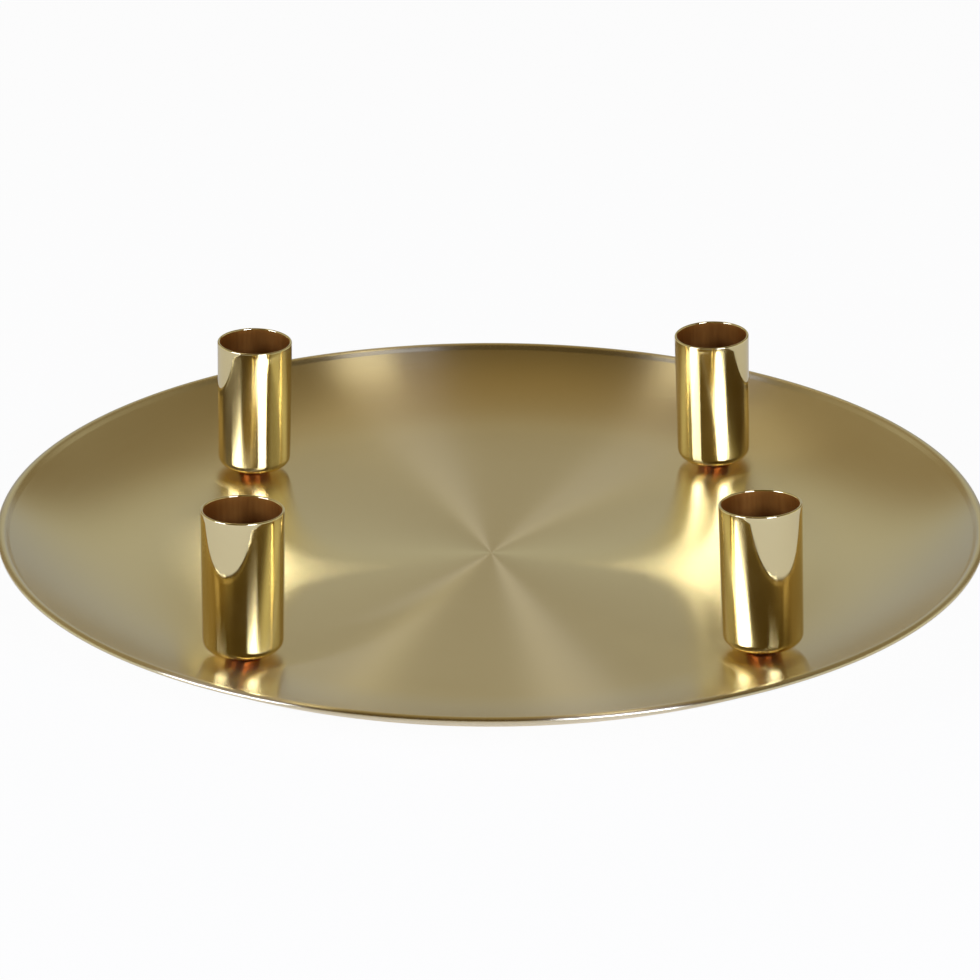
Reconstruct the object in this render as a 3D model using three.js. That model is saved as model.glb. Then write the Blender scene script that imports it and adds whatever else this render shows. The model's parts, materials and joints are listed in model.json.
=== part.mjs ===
// Advent candle holder: a wide shallow dish with four candle cups that stand on it by magnets.
// Millimetres, +Z up. The origin is on the table, under the middle of the dish.

import * as THREE from "three";

// Dish: one spun sheet with a flat base, a wall that curves up from it and a narrow level lip.
const BASE_DIAMETER = 203;
const WALL_RUN = 46.3; // across the wall, from the base's edge to the level lip
const DISH_DEPTH = 15.7; // from the base's top face up to the lip's top face
const LIP_WIDTH = 2.2; // level part of the lip
const LIP_BEND_RADIUS = 5; // on the top face, where the wall rolls over into the lip
const SHEET = 1.2;

// Felt pads under the base.
const PAD_DIAMETER = 18;
const PAD_THICKNESS = 2;
const PAD_INSET = 8; // from the base's edge to the pad
const PAD_DIRECTIONS = [0, 90, 180, 270];

// Candle cups: drawn, a little wider at the mouth, for a common taper candle.
const CANDLE_DIAMETER = 22;
const CANDLE_CLEARANCE = 0.15; // all round, at the mouth
const CUP_HEIGHT = 42.6;
const CUP_WALL = 0.8;
const CUP_TAPER = 0.23; // how much the radius shrinks from mouth to foot
const CUP_CORNER_RADIUS = 3.3; // outside, round the foot

// Magnets: a flat disc bonded under each cup. It bridges the start of the wall's curve.
const MAGNET_DIAMETER = 10;
const MAGNET_THICKNESS = 1.5;
const BOND_LINE = 0.2; // glue between cup and magnet
const SEAT_CLEARANCE = 0.25; // between magnet and dish

// The cups are set down by hand, so each has its own direction in degrees, counted from +X,
// and its own distance from the base's edge out to the middle of its magnet.
const CUP_PLACES = [
  { name: "front_left", direction: 226.4, pastBase: 1.9 },
  { name: "front_right", direction: 317.7, pastBase: 4.6 },
  { name: "rear_right", direction: 46.4, pastBase: 4.4 },
  { name: "rear_left", direction: 137.9, pastBase: 2.8 },
];

// Fineness of the round faces.
const DISH_SEGMENTS = 80;
const CUP_SEGMENTS = 36;
const PAD_SEGMENTS = 24;
const WALL_STEPS = 9;
const BEND_STEPS = 4;
const CORNER_STEPS = 4;
const EDGE_STEPS = 4;

// Worked out from the sizes above.
const baseRadius = BASE_DIAMETER / 2;
const lipStart = baseRadius + WALL_RUN;
const rimRadius = lipStart + LIP_WIDTH;
const wallAngle = 2 * Math.atan(DISH_DEPTH / WALL_RUN);
const wallRadius = WALL_RUN / Math.sin(wallAngle) - LIP_BEND_RADIUS;
const baseTop = PAD_THICKNESS + SHEET;
const mouthRadius = CANDLE_DIAMETER / 2 + CANDLE_CLEARANCE + CUP_WALL;
const footRadius = mouthRadius - CUP_TAPER;

const satinBrass = { color: 0xb49a5c, roughness: 0.35, metalness: 1 };
const polishedBrass = { color: 0xd9b45a, roughness: 0.08, metalness: 1 };
const nickel = { color: 0xb9b6ae, roughness: 0.25, metalness: 1 };
const felt = { color: 0x4a3c2c, roughness: 0.95, metalness: 0 };

// Points of an arc in the profile plane. Angles are in radians, counted from the outward direction.
function arc(centreRadius, centreHeight, radius, from, to, steps) {
  return Array.from({ length: steps + 1 }, (_, step) => {
    const angle = from + ((to - from) * step) / steps;
    return new THREE.Vector2(
      centreRadius + radius * Math.cos(angle),
      centreHeight + radius * Math.sin(angle),
    );
  });
}

// A profile turned round the Z axis.
function turned(profile, segments) {
  return new THREE.LatheGeometry(profile, segments).rotateX(Math.PI / 2);
}

function disc(diameter, thickness, segments) {
  return new THREE.CylinderGeometry(diameter / 2, diameter / 2, thickness, segments).rotateX(Math.PI / 2);
}

function piece(name, geometry, finish) {
  const mesh = new THREE.Mesh(geometry, new THREE.MeshStandardMaterial(finish));
  mesh.name = name;
  return mesh;
}

// The dish's profile runs out along the underside, round the lip's edge and back along the top.
// Heights are counted from the base's top face.
function dishGeometry() {
  const down = -Math.PI / 2;
  const up = Math.PI / 2;
  const edge = SHEET / 2;
  const bendHeight = DISH_DEPTH - LIP_BEND_RADIUS;
  const profile = [
    new THREE.Vector2(0, -SHEET),
    ...arc(baseRadius, wallRadius, wallRadius + SHEET, down, down + wallAngle, WALL_STEPS),
    ...arc(lipStart, bendHeight, LIP_BEND_RADIUS - SHEET, up + wallAngle, up, BEND_STEPS).slice(1),
    ...arc(rimRadius - edge, DISH_DEPTH - edge, edge, down, up, EDGE_STEPS),
    ...arc(lipStart, bendHeight, LIP_BEND_RADIUS, up, up + wallAngle, BEND_STEPS),
    ...arc(baseRadius, wallRadius, wallRadius, down + wallAngle, down, WALL_STEPS).slice(1),
    new THREE.Vector2(0, 0),
  ];
  return turned(profile, DISH_SEGMENTS);
}

// The cup's profile runs out under the floor, up the outside, over the mouth and back down the inside.
function cupGeometry() {
  const down = -Math.PI / 2;
  const lip = CUP_WALL / 2;
  const corner = footRadius - CUP_CORNER_RADIUS;
  const profile = [
    new THREE.Vector2(0, 0),
    ...arc(corner, CUP_CORNER_RADIUS, CUP_CORNER_RADIUS, down, 0, CORNER_STEPS),
    ...arc(mouthRadius - lip, CUP_HEIGHT - lip, lip, 0, Math.PI, EDGE_STEPS),
    ...arc(corner, CUP_CORNER_RADIUS, CUP_CORNER_RADIUS - CUP_WALL, 0, down, CORNER_STEPS),
    new THREE.Vector2(0, CUP_WALL),
  ];
  return turned(profile, CUP_SEGMENTS);
}

// Height of the dish's top face at a radius on the base or on the curve of the wall.
function dishHeight(radius) {
  const run = Math.max(0, radius - baseRadius);
  return wallRadius - Math.sqrt(wallRadius ** 2 - run ** 2);
}

// A cup with its magnet, leaning as its magnet does where it lies across the curve.
function cupOnMagnet({ name, direction, pastBase }) {
  const radius = baseRadius + pastBase;
  const innerHeight = dishHeight(radius - MAGNET_DIAMETER / 2);
  const outerHeight = dishHeight(radius + MAGNET_DIAMETER / 2);

  const magnet = piece(`magnet_${name}`, disc(MAGNET_DIAMETER, MAGNET_THICKNESS, CUP_SEGMENTS), nickel);
  magnet.position.z = SEAT_CLEARANCE + MAGNET_THICKNESS / 2;
  const cup = piece(`cup_${name}`, cupGeometry(), polishedBrass);
  cup.position.z = SEAT_CLEARANCE + MAGNET_THICKNESS + BOND_LINE;

  const seat = new THREE.Group().add(magnet, cup);
  seat.position.set(radius, 0, baseTop + (innerHeight + outerHeight) / 2);
  seat.rotation.y = -Math.atan2(outerHeight - innerHeight, MAGNET_DIAMETER);
  const turn = new THREE.Group().add(seat);
  turn.rotation.z = THREE.MathUtils.degToRad(direction);
  return turn;
}

function feltPad(direction, index) {
  const pad = piece(`felt_pad_${index + 1}`, disc(PAD_DIAMETER, PAD_THICKNESS, PAD_SEGMENTS), felt);
  pad.position.set(baseRadius - PAD_INSET - PAD_DIAMETER / 2, 0, PAD_THICKNESS / 2);
  const turn = new THREE.Group().add(pad);
  turn.rotation.z = THREE.MathUtils.degToRad(direction);
  return turn;
}

const dish = piece("dish", dishGeometry(), satinBrass);
dish.position.z = baseTop;

const candleHolder = new THREE.Group();
candleHolder.add(dish);
candleHolder.add(...PAD_DIRECTIONS.map(feltPad));
candleHolder.add(...CUP_PLACES.map(cupOnMagnet));

export default candleHolder;
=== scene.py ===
"""Advent candle holder: a wide brushed brass dish with four polished candle cups on magnets.

Lengths are metres and the frame is the packed model's: +Z up, the origin on the table under
the middle of the dish.
"""

import json
import math

import bpy
import numpy as np
from mathutils import Matrix, Vector


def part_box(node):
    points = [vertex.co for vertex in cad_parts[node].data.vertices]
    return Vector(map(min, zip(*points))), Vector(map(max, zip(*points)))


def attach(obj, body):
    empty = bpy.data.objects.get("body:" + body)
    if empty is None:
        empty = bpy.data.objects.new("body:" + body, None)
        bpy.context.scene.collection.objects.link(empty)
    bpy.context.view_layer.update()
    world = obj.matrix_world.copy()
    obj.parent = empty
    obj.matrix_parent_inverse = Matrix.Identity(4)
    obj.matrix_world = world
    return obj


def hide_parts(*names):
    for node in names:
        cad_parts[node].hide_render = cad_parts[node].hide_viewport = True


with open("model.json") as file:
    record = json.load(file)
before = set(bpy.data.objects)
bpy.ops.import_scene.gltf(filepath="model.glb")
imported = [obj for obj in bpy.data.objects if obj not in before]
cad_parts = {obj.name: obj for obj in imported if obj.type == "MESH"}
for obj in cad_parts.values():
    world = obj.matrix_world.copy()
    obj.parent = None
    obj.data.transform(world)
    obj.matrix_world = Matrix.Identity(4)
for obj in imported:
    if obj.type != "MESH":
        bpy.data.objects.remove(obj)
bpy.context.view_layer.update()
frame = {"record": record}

bl_info = {
    "name": "Advent candle holder",
    "version": (1, 0, 0),
    "blender": (4, 5, 0),
    "location": "3D View > Sidebar > Candle holder",
    "description": "Builds a brass dish with four candle cups that stand on it by magnets",
    "category": "Add Mesh",
}

CUP_NAMES = ("front_left", "front_right", "rear_right", "rear_left")
PAD_NAMES = ("felt_pad_1", "felt_pad_2", "felt_pad_3", "felt_pad_4")
SEATS = {mount["name"]: mount for mount in frame["record"]["mounts"]}
MM = 0.001

FLOOR_HALF = 12.0
# The floor lies a hair under the felt, so that the two faces don't share one plane.
FLOOR_DROP = 0.05 * MM
CAMERA_PLACE = (0, -0.9614, 0.41165)
CAMERA_DIP = math.radians(23.056)
CAMERA_SHIFT = (-0.0013, 0.0663)
CAMERA_SENSOR = 36.0
# Polished metal between polished metal: light is followed through many reflections.
REFLECTIONS = 16

# Each lamp's name, the middles of its top and foot edges, its width, and the settings that hold
# its colour and brightness.
LAMPS = (
    ("left_softbox", (-1.187, -0.714, 0.8), (-1.324, -0.796, 0.414), 0.8, "lamp", "left_light"),
    ("right_softbox", (0.633, -1.216, 0.824), (0.707, -1.357, 0.468), 0.65, "lamp", "right_light"),
    ("left_panel", (-0.325, 0.5, 1.2), (-0.42, 0.1, 1.2), 0.1, "panel", "panel_light"),
    ("right_panel", (0.2, 0.45, 1.2), (0.3, 0.0, 1.2), 0.12, "panel", "panel_light"),
    ("left_far_panel", (-0.15, 1.53, 1.2), (-0.324, 0.8, 1.2), 0.045, "panel", "left_far"),
    ("right_far_panel", (0.06, 1.535, 1.2), (0.135, 0.8, 1.2), 0.04, "panel", "right_far"),
)


def linear(code):
    """An sRGB hex value as linear red, green and blue."""
    part = np.array([int(code[at:at + 2], 16) for at in (1, 3, 5)]) / 255
    dark = part <= 0.04045
    return tuple(np.where(dark, part / 12.92, ((part + 0.055) / 1.055) ** 2.4).tolist())


def size(name, text, metres):
    """A length that can be changed in the sidebar."""
    return bpy.props.FloatProperty(
        name=name, description=text, default=metres, min=0.0,
        subtype="DISTANCE", unit="LENGTH", precision=5)


def shade(name, text, code):
    """A colour that can be changed in the sidebar."""
    return bpy.props.FloatVectorProperty(
        name=name, description=text, default=linear(code), size=3, min=0.0, max=1.0,
        subtype="COLOR")


def share(name, text, value, top=1.0):
    """A plain number that can be changed in the sidebar."""
    return bpy.props.FloatProperty(
        name=name, description=text, default=value, min=0.0, max=top,
        subtype="FACTOR" if top == 1.0 else "NONE")


def angle(name, text, degrees):
    """An angle that can be changed in the sidebar."""
    return bpy.props.FloatProperty(
        name=name, description=text, default=math.radians(degrees), min=0.0, max=math.pi / 2,
        subtype="ANGLE", unit="ROTATION")


class DishSettings(bpy.types.PropertyGroup):
    """Sizes and finish of the dish."""

    diameter: size("Across", "Rim to rim", 300 * MM)
    base_diameter: size("Base", "Across the flat base", 203 * MM)
    depth: size("Depth", "From the base's top face up to the lip", 15.7 * MM)
    crease: size("Crease", "Radius where the wall turns up into the fold", 0.8 * MM)
    fold: size("Fold", "Straight part between wall and lip", 1.3 * MM)
    fold_slope: angle("Fold slope", "Slope of the fold between wall and lip", 46)
    lip_roll: size("Lip roll", "Radius of the lip's rounded top", 1.9 * MM)
    lip_droop: angle("Lip droop", "How far the lip turns down at the rim", 40)
    sheet: size("Sheet", "Thickness of the metal", 1.2 * MM)
    brass: shade("Brass", "Satin brass between brushing lines", "#f4e4b4")
    brass_deep: shade("Deep brass", "Satin brass in the brushing lines", "#f1dfae")
    shine: share("Shine", "Roughness of the shiniest brushing lines", 0.21)
    haze: share("Haze", "Roughness of the most matt brushing lines", 0.26)
    grain: share("Grain", "How much wider the gloss spreads across the lines than along", 1.0)
    line_spacing: size("Line spacing", "Between brushing lines, drawn coarse to show", 0.45 * MM)


class CupSettings(bpy.types.PropertyGroup):
    """Sizes and finish of the candle cups and the magnets under them."""

    candle: size("Candle", "Candle that the cups hold, across", 22 * MM)
    clearance: size("Clearance", "Round the candle at the mouth", 0.15 * MM)
    height: size("Height", "Foot to mouth", 42.6 * MM)
    wall: size("Wall", "Thickness of the metal", 0.8 * MM)
    taper: size("Taper", "How much the radius shrinks from mouth to foot", 0.23 * MM)
    corner: size("Corner", "Outside radius round the foot", 3.3 * MM)
    brass: shade("Brass", "Polished brass", "#fae7a8")
    # The two inside colours are far darker and redder than the brass outside: painted shade and
    # painted reflection of brass in brass within the cup's hollow. The mix between them by the die
    # marks is random tone.
    inside: shade("Inside", "Drawn brass left unpolished inside", "#bf8439")
    inside_deep: shade("Inside, dulled", "Where the inside has dulled most", "#9d6224")
    bond_line: size("Bond line", "Glue between cup and magnet", 0.2 * MM)
    magnet: size("Magnet", "Magnet under a cup, across", 10 * MM)
    magnet_thickness: size("Magnet thickness", "Magnet, top to bottom", 1.5 * MM)
    magnet_edge: size("Magnet edge", "Rounding of a magnet's edge", 0.3 * MM)
    # The copper tone is painted: it stands for the shade under the cup and the brass light reflected
    # onto the magnet there.
    plate: shade("Plating", "Copper-toned plating of the magnets", "#a8633a")


class PadSettings(bpy.types.PropertyGroup):
    """Rounding and finish of the felt pads under the dish."""

    edge: size("Edge", "Rounding of a pad's edge", 0.5 * MM)
    felt: shade("Felt", "Felt between fibres", "#4a3c2c")
    fibre: shade("Fibre", "Paler fibres on the felt", "#7a664d")


class StageSettings(bpy.types.PropertyGroup):
    """Floor, light and camera."""

    floor: shade("Floor", "Matt white card", "#f6f6f5")
    floor_lift: share("Floor lift", "How far the floor is lifted to plain white", 0.96)
    metal_lift: share("Floor lift in metal", "The same where the floor shows in metal", 0.2)
    horizon: shade("Horizon", "Backdrop at the table's height", "#a8adb8")
    room: shade("Backdrop", "Grey backdrop behind the table", "#b6b5a9")
    aside: shade("Room", "Room round the backdrop", "#98896b")
    side: shade("Sides", "Pale walls to the left and right", "#d6dad0")
    ceiling: shade("Ceiling", "Warm brown ceiling", "#8f7b51")
    canopy: shade("Canopy", "Dark room above the camera", "#453a24")
    lamp: shade("Lamp colour", "Daylight from the softboxes", "#bccaff")
    panel: shade("Panel colour", "Light from the panels above", "#fdf7e0")
    left_light: share(
        "Left light", "Brightness of the left softbox, where 1 is white", 13.8, 100.0)
    right_light: share(
        "Right light", "Brightness of the right softbox, where 1 is white", 21.3, 100.0)
    panel_light: share(
        "Panel light", "Brightness of the two near panels above, where 1 is white", 1.1, 100.0)
    left_far: share(
        "Left far light", "Brightness of the left far panel, where 1 is white", 0.72, 100.0)
    right_far: share(
        "Right far light", "Brightness of the right far panel, where 1 is white", 0.32, 100.0)
    lens: bpy.props.FloatProperty(
        name="Lens", description="Camera lens in millimetres", default=124.67, min=1.0,
        unit="CAMERA")


SETTINGS = (
    ("holder_dish", DishSettings),
    ("holder_cups", CupSettings),
    ("holder_pads", PadSettings),
    ("holder_stage", StageSettings),
)


def arc(centre, radius, start, end, steps):
    """Points on a circular arc in the profile plane, from angle start to angle end.

    Each point is the centre plus radius times (cosine, sine) of the angle.
    """
    turn = np.linspace(start, end, steps + 1)
    return np.column_stack((centre[0] + radius * np.cos(turn), centre[1] + radius * np.sin(turn)))


def straight(start, end, steps):
    """Evenly spaced points on a straight line in the profile plane, without its last point."""
    along = np.linspace(0, 1, steps, endpoint=False)[:, None]
    return np.array(start) * (1 - along) + np.array(end) * along


def placed(points, origin, axis):
    """Points turned so that +Z lies along the axis, then moved to the origin given.

    The new X is the direction straight away from the middle of the dish, made square to the axis.
    """
    up = np.array(axis) / np.linalg.norm(axis)
    outward = np.array([origin[0], origin[1], 0.0])
    across = outward - up * (outward @ up)
    across = across / np.linalg.norm(across)
    turn = np.column_stack((across, np.cross(up, across), up))
    return points @ turn.T + np.array(origin)


def turned(name, profile, segments, finishes, which=None, origin=None, axis=(0, 0, 1)):
    """A turned piece. A point is (r cos a, r sin a, z), with r and z on the profile and a the turn.

    The profile's first and last points lie on the axis and are one vertex each, so the skin is
    closed, and it runs so that the outside is on its left. The map's first value is the length
    along the profile in metres, and its second the turn as a share of a whole one. which gives
    the number of the finish for each stretch of the profile.
    """
    radius, height = profile[1:-1].T
    rings = len(radius)
    turn = np.arange(segments) * (2 * np.pi / segments)
    skin = np.stack((
        np.outer(radius, np.cos(turn)),
        np.outer(radius, np.sin(turn)),
        np.outer(height, np.ones(segments)),
    ), axis=-1).reshape(-1, 3)
    points = np.vstack(((0, 0, profile[0, 1]), skin, (0, 0, profile[-1, 1])))
    if origin is not None:
        points = placed(points, origin, axis)

    step = np.arange(segments)
    after = (step + 1) % segments
    ring = 1 + segments * np.arange(rings)[:, None]
    near, far = ring[:-1] + step, ring[1:] + step
    near_after, far_after = ring[:-1] + after, ring[1:] + after
    quads = np.stack((near, far, far_after, near_after), axis=-1).reshape(-1, 4)
    first = np.column_stack((np.zeros(segments, int), ring[0] + step, ring[0] + after))
    last = np.column_stack((ring[-1] + step, np.full(segments, len(points) - 1), ring[-1] + after))

    length = np.concatenate(((0,), np.cumsum(np.hypot(*np.diff(profile, axis=0).T))))
    left, right = step / segments, (step + 1) / segments
    wide = np.ones((rings - 1, 1))
    lower, upper = length[1:-2, None] * np.ones(segments), length[2:-1, None] * np.ones(segments)
    quad_map = np.stack((
        np.stack((lower, wide * left), -1), np.stack((upper, wide * left), -1),
        np.stack((upper, wide * right), -1), np.stack((lower, wide * right), -1),
    ), axis=2).reshape(-1, 2)
    middle, level = (left + right) / 2, np.ones(segments)
    first_map = np.stack((
        np.column_stack((level * 0, middle)), np.column_stack((level * length[1], left)),
        np.column_stack((level * length[1], right)),
    ), axis=1).reshape(-1, 2)
    last_map = np.stack((
        np.column_stack((level * length[-2], left)), np.column_stack((level * length[-1], middle)),
        np.column_stack((level * length[-2], right)),
    ), axis=1).reshape(-1, 2)

    mesh = bpy.data.meshes.new(name)
    mesh.from_pydata(points.tolist(), [], first.tolist() + quads.tolist() + last.tolist())
    if len(mesh.polygons) != 2 * segments + len(quads):
        raise RuntimeError(f"{name}: its skin is not whole")
    mesh.polygons.foreach_set("use_smooth", np.ones(len(mesh.polygons), bool))
    unwrapped = mesh.uv_layers.new(name="length_and_turn")
    flat = np.vstack((first_map, quad_map, last_map)).astype(np.float32)
    unwrapped.data.foreach_set("uv", flat.ravel())
    for finish in finishes:
        mesh.materials.append(finish)
    if which is not None:
        number = np.concatenate((
            np.full(segments, which[0]), np.repeat(which[1:-1], segments),
            np.full(segments, which[-1])))
        mesh.polygons.foreach_set("material_index", number.astype(np.int32))
    mesh.update()
    piece = bpy.data.objects.new(name, mesh)
    bpy.context.scene.collection.objects.link(piece)
    return piece


def add(tree, kind, inputs=None, **settings):
    """Adds one node with its settings, and sets or links each of its inputs."""
    node = tree.nodes.new(kind)
    for name, value in settings.items():
        setattr(node, name, value)
    for name, value in (inputs or {}).items():
        if isinstance(value, bpy.types.NodeSocket):
            tree.links.new(value, node.inputs[name])
        else:
            node.inputs[name].default_value = value
    return node


def bare(name):
    """A material with an empty node tree."""
    material = bpy.data.materials.new(name)
    material.use_nodes = True
    material.node_tree.nodes.clear()
    return material, material.node_tree


def satin_brass(settings):
    """Brass-plated sheet, spun and brushed in circles to a satin.

    The brushing leaves fine lines that run round the middle. Across them the gloss spreads wide
    and along them little, so each lamp shows as a straight streak through the middle of the
    dish.
    """
    material, tree = bare("satin_brass_brushed_in_circles")
    place = add(tree, "ShaderNodeTexCoord").outputs["Object"]
    level = add(tree, "ShaderNodeVectorMath", {0: place, 1: (1, 1, 0)}, operation="MULTIPLY")
    radius = add(tree, "ShaderNodeVectorMath", {0: level.outputs[0]}, operation="LENGTH")
    way = add(tree, "ShaderNodeVectorMath", {0: level.outputs[0]}, operation="NORMALIZE")
    # A real brushing line is about 0.1 mm wide; here it is drawn wide enough to show.
    count = add(tree, "ShaderNodeMath", {0: radius.outputs["Value"], 1: 1 / settings.line_spacing},
                operation="MULTIPLY")
    rise = add(tree, "ShaderNodeCombineXYZ", {"Z": count.outputs[0]})
    # A line runs on for about a third of a radian before it fades.
    spread = add(tree, "ShaderNodeVectorMath",
                 {0: way.outputs[0], 1: (3, 3, 3), 2: rise.outputs[0]}, operation="MULTIPLY_ADD")
    lines = add(tree, "ShaderNodeTexNoise",
                {"Vector": spread.outputs[0], "Scale": 1.0, "Detail": 3.0, "Roughness": 0.6})
    # Faint clouds about 60 mm across, where the brush pressed less.
    clouds = add(tree, "ShaderNodeTexNoise",
                 {"Vector": place, "Scale": 1 / (60 * MM), "Detail": 1.0, "Roughness": 0.4})
    blend = add(tree, "ShaderNodeMath",
                {0: lines.outputs["Fac"], 1: 0.7, 2: 0.15}, operation="MULTIPLY_ADD")
    colour = add(tree, "ShaderNodeMix",
                 {0: blend.outputs[0], 6: (*settings.brass_deep, 1), 7: (*settings.brass, 1)},
                 data_type="RGBA")
    worn = add(tree, "ShaderNodeMath",
               {0: clouds.outputs["Fac"], 1: 0.2, 2: lines.outputs["Fac"]}, operation="MULTIPLY_ADD")
    rough = add(tree, "ShaderNodeMapRange",
                {"Value": worn.outputs[0], "From Min": 0.2, "From Max": 1.0,
                 "To Min": settings.shine, "To Max": settings.haze})
    # The lines are so shallow that they hardly bend what the dish mirrors.
    scratch = add(tree, "ShaderNodeBump",
                  {"Height": lines.outputs["Fac"], "Strength": 0.0025, "Distance": 0.05 * MM})
    along = add(tree, "ShaderNodeTangent", direction_type="UV_MAP", uv_map="length_and_turn")
    metal = add(tree, "ShaderNodeBsdfPrincipled", {
        "Base Color": colour.outputs[2], "Metallic": 1.0, "Roughness": rough.outputs[0],
        "Anisotropic": settings.grain, "Tangent": along.outputs[0],
        "Normal": scratch.outputs[0],
    })
    add(tree, "ShaderNodeOutputMaterial", {"Surface": metal.outputs[0]})
    return material


def polished_brass(settings):
    """Brass, drawn and mirror polished outside: sharp reflections, with faint smears."""
    material, tree = bare("brass_mirror_polished")
    place = add(tree, "ShaderNodeTexCoord").outputs["Object"]
    # Smears about 8 mm across from wiping.
    smear = add(tree, "ShaderNodeTexNoise",
                {"Vector": place, "Scale": 1 / (8 * MM), "Detail": 2.0, "Roughness": 0.5})
    rough = add(tree, "ShaderNodeMapRange",
                {"Value": smear.outputs["Fac"], "From Min": 0.35, "From Max": 0.65,
                 "To Min": 0.03, "To Max": 0.09})
    tint = add(tree, "ShaderNodeMapRange",
               {"Value": smear.outputs["Fac"], "To Min": 0.96, "To Max": 1.0})
    colour = add(tree, "ShaderNodeMix",
                 {0: 1.0, 6: (*settings.brass, 1), 7: tint.outputs[0]},
                 data_type="RGBA", blend_type="MULTIPLY")
    metal = add(tree, "ShaderNodeBsdfPrincipled", {
        "Base Color": colour.outputs[2], "Metallic": 1.0, "Roughness": rough.outputs[0]})
    add(tree, "ShaderNodeOutputMaterial", {"Surface": metal.outputs[0]})
    return material


def drawn_brass(settings):
    """Brass as it comes from the drawing die, unpolished: broad soft gloss inside. Its colours are
    much darker and redder than the brass outside, which is painted shade and painted reflection of
    brass in brass within the cup's hollow.
    """
    material, tree = bare("brass_drawn_unpolished")
    unwrapped = add(tree, "ShaderNodeUVMap", uv_map="length_and_turn")
    # A die mark runs about 17 mm up the wall, which is 60 to a metre. The marks are drawn about
    # 1.5 mm apart, 48 to a turn, which is wider than real, to show.
    stretched = add(tree, "ShaderNodeVectorMath",
                    {0: unwrapped.outputs[0], 1: (60, 48, 1)}, operation="MULTIPLY")
    marks = add(tree, "ShaderNodeTexNoise",
                {"Vector": stretched.outputs[0], "Scale": 1.0, "Detail": 3.0, "Roughness": 0.6})
    # Both colours hold painted shade: the hollow's shade and its brass-on-brass reflections are
    # painted into them.
    colour = add(tree, "ShaderNodeMix",
                 {0: marks.outputs["Fac"], 6: (*settings.inside_deep, 1),
                  7: (*settings.inside, 1)}, data_type="RGBA")
    rough = add(tree, "ShaderNodeMapRange",
                {"Value": marks.outputs["Fac"], "To Min": 0.5, "To Max": 0.65})
    metal = add(tree, "ShaderNodeBsdfPrincipled", {
        "Base Color": colour.outputs[2], "Metallic": 1.0, "Roughness": rough.outputs[0]})
    add(tree, "ShaderNodeOutputMaterial", {"Surface": metal.outputs[0]})
    return material


def magnet_plate(settings):
    """A plate over a pressed magnet, with fine handling scuffs. Its copper tone and reddish shine
    are painted shade and painted reflection of the brass round it, in the gap under the cup.
    """
    material, tree = bare("magnet_plate_copper_toned")
    place = add(tree, "ShaderNodeTexCoord").outputs["Object"]
    # Scuffs about 0.8 mm across.
    scuff = add(tree, "ShaderNodeTexNoise",
                {"Vector": place, "Scale": 1 / (0.8 * MM), "Detail": 2.0, "Roughness": 0.6})
    rough = add(tree, "ShaderNodeMapRange",
                {"Value": scuff.outputs["Fac"], "To Min": 0.12, "To Max": 0.32})
    tint = add(tree, "ShaderNodeMapRange",
               {"Value": scuff.outputs["Fac"], "To Min": 0.88, "To Max": 1.0})
    # The plate colour holds painted shade and painted reflection of the brass round the magnet; the
    # scuffs vary it at random.
    colour = add(tree, "ShaderNodeMix",
                 {0: 1.0, 6: (*settings.plate, 1), 7: tint.outputs[0]},
                 data_type="RGBA", blend_type="MULTIPLY")
    metal = add(tree, "ShaderNodeBsdfPrincipled", {
        "Base Color": colour.outputs[2], "Metallic": 1.0, "Roughness": rough.outputs[0]})
    add(tree, "ShaderNodeOutputMaterial", {"Surface": metal.outputs[0]})
    return material


def wool_felt(settings):
    """Pressed wool felt: matt, with short fibres that lie every way and a soft pale edge."""
    material, tree = bare("wool_felt_pressed")
    place = add(tree, "ShaderNodeTexCoord").outputs["Object"]
    # Fibres are about 0.03 mm thick; here they are drawn about 0.4 mm wide to show.
    fibres = add(tree, "ShaderNodeTexNoise",
                 {"Vector": place, "Scale": 1 / (0.4 * MM), "Detail": 4.0, "Roughness": 0.7,
                  "Distortion": 1.5})
    colour = add(tree, "ShaderNodeMix",
                 {0: fibres.outputs["Fac"], 6: (*settings.felt, 1), 7: (*settings.fibre, 1)},
                 data_type="RGBA")
    nap = add(tree, "ShaderNodeBump",
              {"Height": fibres.outputs["Fac"], "Strength": 0.6, "Distance": 0.3 * MM})
    cloth = add(tree, "ShaderNodeBsdfPrincipled", {
        "Base Color": colour.outputs[2], "Roughness": 0.95, "Normal": nap.outputs[0],
        "Sheen Weight": 0.3, "Sheen Roughness": 0.5})
    add(tree, "ShaderNodeOutputMaterial", {"Surface": cloth.outputs[0]})
    return material


def white_card(settings):
    """Matt white card. It takes the holder's shadow, and is lifted part of the way to white."""
    material, tree = bare("white_card_matt")
    ray = add(tree, "ShaderNodeLightPath").outputs
    seen = add(tree, "ShaderNodeMath",
               {0: ray["Is Camera Ray"], 1: settings.floor_lift}, operation="MULTIPLY")
    caught = add(tree, "ShaderNodeMath",
                 {0: ray["Is Glossy Ray"], 1: ray["Is Transmission Ray"]}, operation="MAXIMUM")
    mirrored = add(tree, "ShaderNodeMath",
                   {0: caught.outputs[0], 1: settings.metal_lift}, operation="MULTIPLY")
    lift = add(tree, "ShaderNodeMath",
               {0: seen.outputs[0], 1: mirrored.outputs[0]}, operation="MAXIMUM")
    card = add(tree, "ShaderNodeBsdfDiffuse", {"Color": (*settings.floor, 1)})
    white = add(tree, "ShaderNodeEmission", {"Color": (1, 1, 1, 1), "Strength": 1.0})
    both = add(tree, "ShaderNodeMixShader",
               {0: lift.outputs[0], 1: card.outputs[0], 2: white.outputs[0]})
    add(tree, "ShaderNodeOutputMaterial", {"Surface": both.outputs[0]})
    return material


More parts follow.
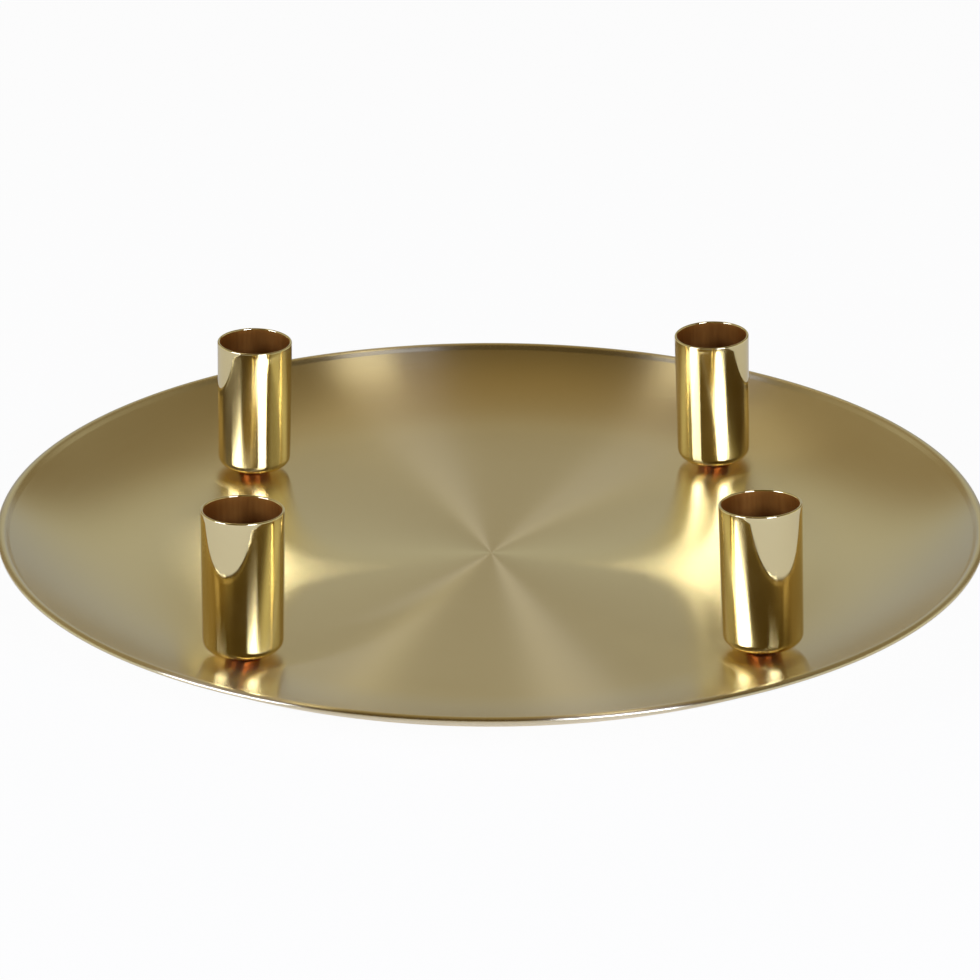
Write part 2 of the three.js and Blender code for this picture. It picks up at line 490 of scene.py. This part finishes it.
class HOLDER_OT_dish(bpy.types.Operator):
    """Spin the brass dish: a flat base, a wall that curves up, a short steep fold, a rounded lip"""

    bl_idname = "holder.dish"
    bl_label = "Dish"

    def execute(self, context):
        sizes = context.scene.holder_dish
        base, sheet = sizes.base_diameter / 2, sizes.sheet
        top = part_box("dish")[0].z + sheet
        down, up = -math.pi / 2, math.pi / 2
        crease, steep = sizes.crease, sizes.fold_slope
        roll, edge, last = sizes.lip_roll, sheet / 2, up - sizes.lip_droop
        rim = sizes.diameter / 2 - edge
        roll_over = (rim - (roll - edge) * math.cos(last), sizes.depth - roll)
        rounded = (rim, roll_over[1] + (roll - edge) * math.sin(last))
        turn_up = (roll_over[0] - (roll + crease) * math.sin(steep) - sizes.fold * math.cos(steep),
                   roll_over[1] + (roll + crease) * math.cos(steep) - sizes.fold * math.sin(steep))
        # The wall is the one curve that leaves the base level and runs smoothly into the crease.
        run = turn_up[0] - base
        curve = (run ** 2 + turn_up[1] ** 2 - crease ** 2) / (2 * (turn_up[1] - crease))
        lean = math.atan2(run, curve - turn_up[1])
        profile = np.vstack((
            straight((0, 0), (base, 0), steps=24),
            arc((base, curve), curve, down, down + lean, steps=48),
            arc(turn_up, crease, down + lean, down + steep, steps=8)[1:],
            arc(roll_over, roll, up + steep, last, steps=24),
            arc(rounded, edge, last, last - math.pi, steps=12)[1:],
            arc(roll_over, roll - sheet, last, up + steep, steps=16)[1:],
            arc(turn_up, crease + sheet, down + steep, down + lean, steps=8),
            arc((base, curve), curve + sheet, down + lean, down, steps=32)[1:],
            straight((base, -sheet), (0, -sheet), steps=12)[1:],
            ((0, -sheet),),
        ))
        profile[:, 1] += top
        dish = turned("brushed_dish", profile, segments=288, finishes=[satin_brass(sizes)])
        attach(dish, "dish")
        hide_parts("dish")
        return {"FINISHED"}


class HOLDER_OT_cups(bpy.types.Operator):
    """Draw the four candle cups, polished outside and left dull inside"""

    bl_idname = "holder.cups"
    bl_label = "Candle cups"

    def execute(self, context):
        sizes = context.scene.holder_cups
        wall, height, corner = sizes.wall, sizes.height, sizes.corner
        mouth = sizes.candle / 2 + sizes.clearance + wall
        foot = mouth - sizes.taper
        lip, lip_steps = wall / 2, 6
        down = -math.pi / 2
        turn = (foot - corner, corner)
        outside = np.vstack((
            arc((mouth - lip, height - lip), lip, math.pi / 2, 0, lip_steps)[:-1],
            straight((mouth, height - lip), (foot, corner), steps=24),
            arc(turn, corner, 0, down, steps=16),
            straight((foot - corner, 0), (0, 0), steps=8)[1:],
            ((0, 0),),
        ))
        inside = np.vstack((
            straight((0, wall), (foot - corner, wall), steps=8),
            arc(turn, corner - wall, down, 0, steps=10),
            straight((foot - wall, corner), (mouth - wall, height - lip), steps=24)[1:],
            arc((mouth - lip, height - lip), lip, math.pi, math.pi / 2, lip_steps)[:-1],
        ))
        profile = np.vstack((inside, outside))
        profile[:, 1] -= wall
        # The rounding of the lip is polished like the outside.
        dull = len(inside) - lip_steps
        which = np.concatenate((np.ones(dull), np.zeros(len(profile) - 1 - dull)))
        finishes = [polished_brass(sizes), drawn_brass(sizes)]
        for name in CUP_NAMES:
            seat = SEATS["candle_seat_" + name]
            cup = turned("candle_cup_" + name, profile, segments=144, finishes=finishes,
                         which=which, origin=seat["pos_m"], axis=seat["axis"])
            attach(cup, name + "_cup")
            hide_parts("cup_" + name)
        return {"FINISHED"}


class HOLDER_OT_magnets(bpy.types.Operator):
    """Press the four plated magnets that hold the cups to the dish"""

    bl_idname = "holder.magnets"
    bl_label = "Magnets"

    def execute(self, context):
        sizes = context.scene.holder_cups
        radius, edge = sizes.magnet / 2, sizes.magnet_edge
        down = -math.pi / 2
        top = -sizes.wall - sizes.bond_line
        low = top - sizes.magnet_thickness
        profile = np.vstack((
            straight((0, top), (radius - edge, top), steps=6),
            arc((radius - edge, top - edge), edge, math.pi / 2, 0, steps=6),
            arc((radius - edge, low + edge), edge, 0, down, steps=6),
            straight((radius - edge, low), (0, low), steps=6)[1:],
            ((0, low),),
        ))
        finish = magnet_plate(sizes)
        for name in CUP_NAMES:
            seat = SEATS["candle_seat_" + name]
            magnet = turned("disc_magnet_" + name, profile, segments=72, finishes=[finish],
                            origin=seat["pos_m"], axis=seat["axis"])
            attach(magnet, name + "_cup")
            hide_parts("magnet_" + name)
        return {"FINISHED"}


class HOLDER_OT_pads(bpy.types.Operator):
    """Cut the four felt pads that keep the dish off the table"""

    bl_idname = "holder.pads"
    bl_label = "Felt pads"

    def execute(self, context):
        sizes = context.scene.holder_pads
        edge = sizes.edge
        down = -math.pi / 2
        finish = wool_felt(sizes)
        for name in PAD_NAMES:
            low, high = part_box(name)
            middle = ((low.x + high.x) / 2, (low.y + high.y) / 2, low.z)
            radius, top = (high.x - low.x) / 2, high.z - low.z
            profile = np.vstack((
                straight((0, top), (radius - edge, top), steps=8),
                arc((radius - edge, top - edge), edge, math.pi / 2, 0, steps=6),
                arc((radius - edge, edge), edge, 0, down, steps=6),
                straight((radius - edge, 0), (0, 0), steps=8)[1:],
                ((0, 0),),
            ))
            pad = turned(name, profile, segments=96, finishes=[finish], origin=middle)
            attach(pad, "dish")
            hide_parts(name)
        return {"FINISHED"}


def softbox(name, top, foot, width, colour, brightness):
    """A flat rectangular lamp from its top point to its foot point, facing the dish.

    Its power is brightness times pi times its area.
    """
    top, foot = Vector(top), Vector(foot)
    middle = (top + foot) / 2
    upright = (top - foot).normalized()
    side = upright.cross(middle).normalized()
    lamp = bpy.data.lights.new(name, "AREA")
    lamp.shape = "RECTANGLE"
    lamp.size, lamp.size_y = width, (top - foot).length
    lamp.color = colour
    lamp.energy = brightness * math.pi * lamp.size * lamp.size_y
    holder = bpy.data.objects.new(name, lamp)
    bpy.context.scene.collection.objects.link(holder)
    turn = Matrix((side, upright, side.cross(upright))).transposed()
    holder.matrix_world = Matrix.Translation(middle) @ turn.to_4x4()
    holder.visible_camera = False


def grey_room(settings):
    """A plain room: a grey backdrop behind the table, brown round and above it, pale at the sides.

    Each part is told by the direction looked in, a unit length with X to the right, Y away from
    the camera and Z up, and each runs smoothly into the next.
    """
    room = bpy.data.worlds.new("grey_room")
    room.use_nodes = True
    tree = room.node_tree
    tree.nodes.clear()
    way = add(tree, "ShaderNodeTexCoord").outputs["Generated"]
    split = add(tree, "ShaderNodeSeparateXYZ", {0: way})
    across = add(tree, "ShaderNodeMath", {0: split.outputs["X"]}, operation="ABSOLUTE")

    # The backdrop turns from a cool to a warm grey as it rises, and dims a little to both sides.
    rise = add(tree, "ShaderNodeMapRange",
               {"Value": split.outputs["Z"], "From Min": 0.15, "From Max": 0.42},
               interpolation_type="SMOOTHSTEP")
    wall = add(tree, "ShaderNodeMix",
               {0: rise.outputs[0], 6: (*settings.horizon, 1), 7: (*settings.room, 1)},
               data_type="RGBA")
    fall = add(tree, "ShaderNodeMapRange",
               {"Value": across.outputs[0], "From Min": 0.04, "From Max": 0.13,
                "To Min": 1.0, "To Max": 0.9}, interpolation_type="SMOOTHSTEP")
    backdrop = add(tree, "ShaderNodeMix", {0: 1.0, 6: wall.outputs[2], 7: fall.outputs[0]},
                   data_type="RGBA", blend_type="MULTIPLY")

    # Round the backdrop the room is brown, deeper overhead and dimmer to the left and right.
    above = add(tree, "ShaderNodeMapRange",
                {"Value": split.outputs["Z"], "From Min": 0.75, "From Max": 1.0},
                interpolation_type="SMOOTHSTEP")
    surround = add(tree, "ShaderNodeMix",
                   {0: above.outputs[0], 6: (*settings.aside, 1), 7: (*settings.ceiling, 1)},
                   data_type="RGBA")
    dim_left = add(tree, "ShaderNodeMapRange",
                   {"Value": split.outputs["X"], "From Min": -0.08, "From Max": -0.2,
                    "To Min": 1.0, "To Max": 0.81}, interpolation_type="SMOOTHSTEP")
    dim_right = add(tree, "ShaderNodeMapRange",
                    {"Value": split.outputs["X"], "From Min": 0.08, "From Max": 0.26,
                     "To Min": 1.0, "To Max": 0.64}, interpolation_type="SMOOTHSTEP")
    dim = add(tree, "ShaderNodeMath", {0: dim_left.outputs[0], 1: dim_right.outputs[0]},
              operation="MULTIPLY")
    shaded = add(tree, "ShaderNodeMix", {0: 1.0, 6: surround.outputs[2], 7: dim.outputs[0]},
                 data_type="RGBA", blend_type="MULTIPLY")

    # The backdrop fills the middle of the rear, where Y less 0.3 of the way to either side is large.
    facing = add(tree, "ShaderNodeMath", {0: across.outputs[0], 1: -0.3, 2: split.outputs["Y"]},
                 operation="MULTIPLY_ADD")
    middle = add(tree, "ShaderNodeMapRange",
                 {"Value": facing.outputs[0], "From Min": 0.72, "From Max": 0.85},
                 interpolation_type="SMOOTHSTEP")
    rear = add(tree, "ShaderNodeMix",
               {0: middle.outputs[0], 6: shaded.outputs[2], 7: backdrop.outputs[2]},
               data_type="RGBA")

    # Above the camera the room is dark.
    behind = add(tree, "ShaderNodeMapRange",
                 {"Value": split.outputs["Y"], "From Min": 0.0, "From Max": 0.14},
                 interpolation_type="SMOOTHSTEP")
    near_table = add(tree, "ShaderNodeMapRange",
                     {"Value": split.outputs["Z"], "From Min": 0.55, "From Max": 0.35},
                     interpolation_type="SMOOTHSTEP")
    lit = add(tree, "ShaderNodeMath", {0: behind.outputs[0], 1: near_table.outputs[0]},
              operation="MAXIMUM")
    colour = add(tree, "ShaderNodeMix",
                 {0: lit.outputs[0], 6: (*settings.canopy, 1), 7: rear.outputs[2]},
                 data_type="RGBA")

    # Low down to the left and right stand pale walls.
    beside = add(tree, "ShaderNodeMapRange",
                 {"Value": across.outputs[0], "From Min": 0.6, "From Max": 0.85},
                 interpolation_type="SMOOTHSTEP")
    bright = add(tree, "ShaderNodeMath", {0: beside.outputs[0], 1: near_table.outputs[0]},
                 operation="MULTIPLY")
    around = add(tree, "ShaderNodeMix",
                 {0: bright.outputs[0], 6: colour.outputs[2], 7: (*settings.side, 1)},
                 data_type="RGBA")
    light = add(tree, "ShaderNodeBackground", {"Color": around.outputs[2], "Strength": 1.0})
    add(tree, "ShaderNodeOutputWorld", {"Surface": light.outputs[0]})
    return room


class HOLDER_OT_stage(bpy.types.Operator):
    """Lay the white floor, and set the softboxes, the panels, the room round them and the camera"""

    bl_idname = "holder.stage"
    bl_label = "Stage"

    def execute(self, context):
        scene, sizes = context.scene, context.scene.holder_stage
        half, low = FLOOR_HALF, -FLOOR_DROP
        corners = [(-half, -half, low), (half, -half, low), (half, half, low), (-half, half, low)]
        mesh = bpy.data.meshes.new("floor")
        mesh.from_pydata(corners, [], [(0, 1, 2, 3)])
        mesh.materials.append(white_card(sizes))
        floor = bpy.data.objects.new("floor", mesh)
        scene.collection.objects.link(floor)

        for name, top, foot, width, colour, brightness in LAMPS:
            softbox(name, top, foot, width, getattr(sizes, colour), getattr(sizes, brightness))
        scene.world = grey_room(sizes)

        camera = bpy.data.cameras.new("camera")
        camera.lens = sizes.lens
        camera.sensor_width = CAMERA_SENSOR
        camera.shift_x, camera.shift_y = CAMERA_SHIFT
        eye = bpy.data.objects.new("camera", camera)
        scene.collection.objects.link(eye)
        eye.location = CAMERA_PLACE
        eye.rotation_euler = (math.pi / 2 - CAMERA_DIP, 0, 0)
        scene.camera = eye
        scene.view_settings.view_transform = "Standard"
        scene.cycles.max_bounces = REFLECTIONS
        scene.cycles.glossy_bounces = REFLECTIONS
        return {"FINISHED"}


class HOLDER_PT_panel(bpy.types.Panel):
    """Sidebar page with the steps that build the candle holder and their settings"""

    bl_idname = "HOLDER_PT_panel"
    bl_label = "Advent candle holder"
    bl_space_type = "VIEW_3D"
    bl_region_type = "UI"
    bl_category = "Candle holder"

    def draw(self, context):
        for step in STEPS:
            self.layout.operator(step.bl_idname)
        for name, group in SETTINGS:
            page = self.layout.box()
            page.label(text=group.__doc__)
            for value in group.__annotations__:
                page.prop(getattr(context.scene, name), value)


STEPS = (HOLDER_OT_dish, HOLDER_OT_cups, HOLDER_OT_magnets, HOLDER_OT_pads, HOLDER_OT_stage)


def register():
    for name, group in SETTINGS:
        bpy.utils.register_class(group)
        setattr(bpy.types.Scene, name, bpy.props.PointerProperty(type=group))
    for step in STEPS:
        bpy.utils.register_class(step)
    bpy.utils.register_class(HOLDER_PT_panel)


def unregister():
    bpy.utils.unregister_class(HOLDER_PT_panel)
    for step in reversed(STEPS):
        bpy.utils.unregister_class(step)
    for name, group in reversed(SETTINGS):
        delattr(bpy.types.Scene, name)
        bpy.utils.unregister_class(group)


def main():
    register()
    bpy.ops.holder.dish()
    bpy.ops.holder.cups()
    bpy.ops.holder.magnets()
    bpy.ops.holder.pads()
    bpy.ops.holder.stage()


if __name__ == "__main__":
    main()
